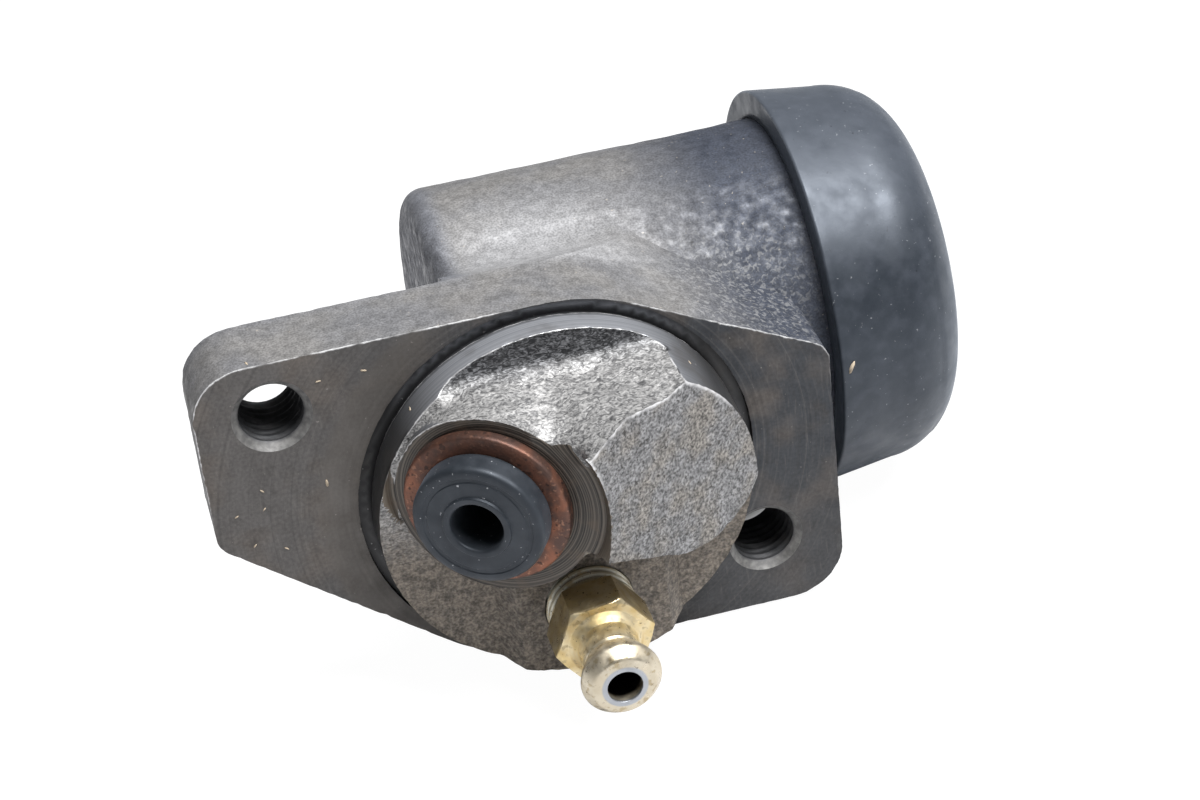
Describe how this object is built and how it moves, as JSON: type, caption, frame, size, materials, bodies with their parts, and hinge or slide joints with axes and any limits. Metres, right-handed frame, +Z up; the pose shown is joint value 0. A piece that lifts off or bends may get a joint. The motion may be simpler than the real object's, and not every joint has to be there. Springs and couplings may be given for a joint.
{
  "type": "wheel cylinder",
  "caption": "Drum brake wheel cylinder: flanged cast body with a side barrel, a slotted piston under a rubber boot, a leaning hose port with a rubber plug, and a bleed screw.",
  "frame": {"origin": "centre of the turned spigot on the mounting face of the flange", "axes": "+X along the barrel towards the boot, -Y out of the mounting face along the spigot, +Z up as pictured"},
  "size_m": [0.0868, 0.0736, 0.0466],
  "materials": {
    "cast_body": "as cast, with turned faces",
    "piston_metal": "turned",
    "seal_rubber": "moulded",
    "spreader_metal": "pressed",
    "spring_wire": "drawn wire",
    "boot_rubber": "satin, scuffed",
    "plated_steel": "yellow zinc plated",
    "copper": "dull copper",
    "plug_rubber": "dusty"
  },
  "bodies": {
    "housing": {"cylinder_body": "cast_body", "port_washer": "copper", "dust_boot": "boot_rubber", "return_spring": "spring_wire"},
    "piston_group": {"piston": "piston_metal", "piston_seal": "seal_rubber", "cup_spreader": "spreader_metal"},
    "bleeder": {"bleed_screw": "plated_steel"},
    "transit_plug": {"port_plug": "plug_rubber"}
  },
  "joints": [
    {"name": "piston_slide", "type": "slide", "parent": "housing", "child": "piston_group", "axis": [1, 0, 0], "range_m": [-0.003, 0.008], "deforming": ["dust_boot", "return_spring"]},
    {"name": "bleed_turn", "type": "hinge", "parent": "housing", "child": "bleeder", "pos_m": [0.0004, -0.01, -0.012], "axis": [0, -1, 0], "range_deg": [0, 360]},
    {"name": "plug_pull", "type": "slide", "parent": "housing", "child": "transit_plug", "axis": [-0.5, -0.866, 0], "range_m": [0, 0.02]}
  ]
}
